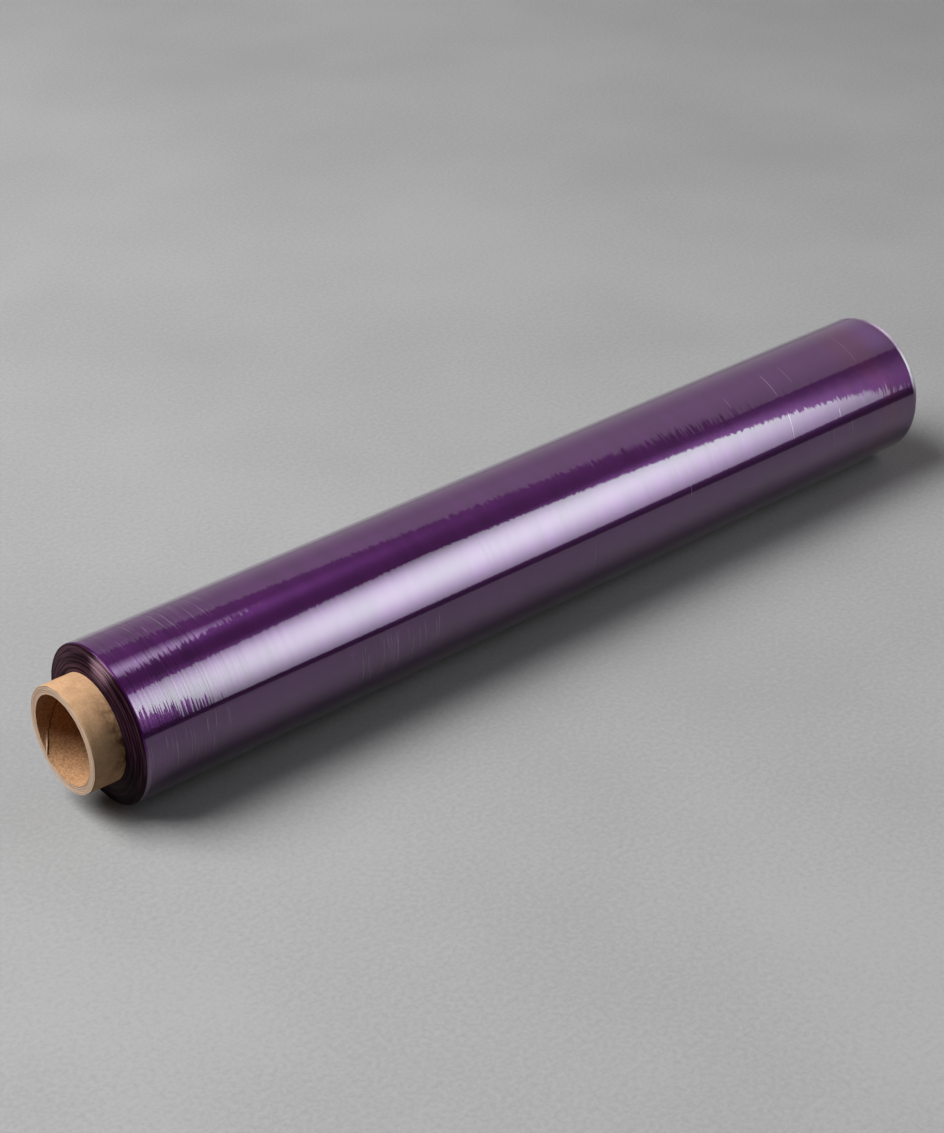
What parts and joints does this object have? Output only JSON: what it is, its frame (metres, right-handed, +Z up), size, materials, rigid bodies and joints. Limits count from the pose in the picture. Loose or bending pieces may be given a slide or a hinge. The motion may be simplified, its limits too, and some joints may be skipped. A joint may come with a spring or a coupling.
{
  "type": "roll of cling film",
  "caption": "Roll of purple tinted cling film wound on a spiral paper tube, lying on its side, with the tube standing out at both ends.",
  "frame": {"origin": "on the resting surface under the middle of the tube's length, at the lowest point of the roll", "axes": "+X along the roll's axis, from the end where more of the tube stands out to the other; +Z up, out of the surface it lies on; +Y across the roll"},
  "size_m": [0.315, 0.046, 0.0457],
  "materials": {
    "film": "glossy wound film, tinted purple",
    "kraft_paper": "matt unbleached kraft board"
  },
  "bodies": {
    "root": {"film_roll": "film", "core_tube": "kraft_paper"}
  },
  "joints": []
}
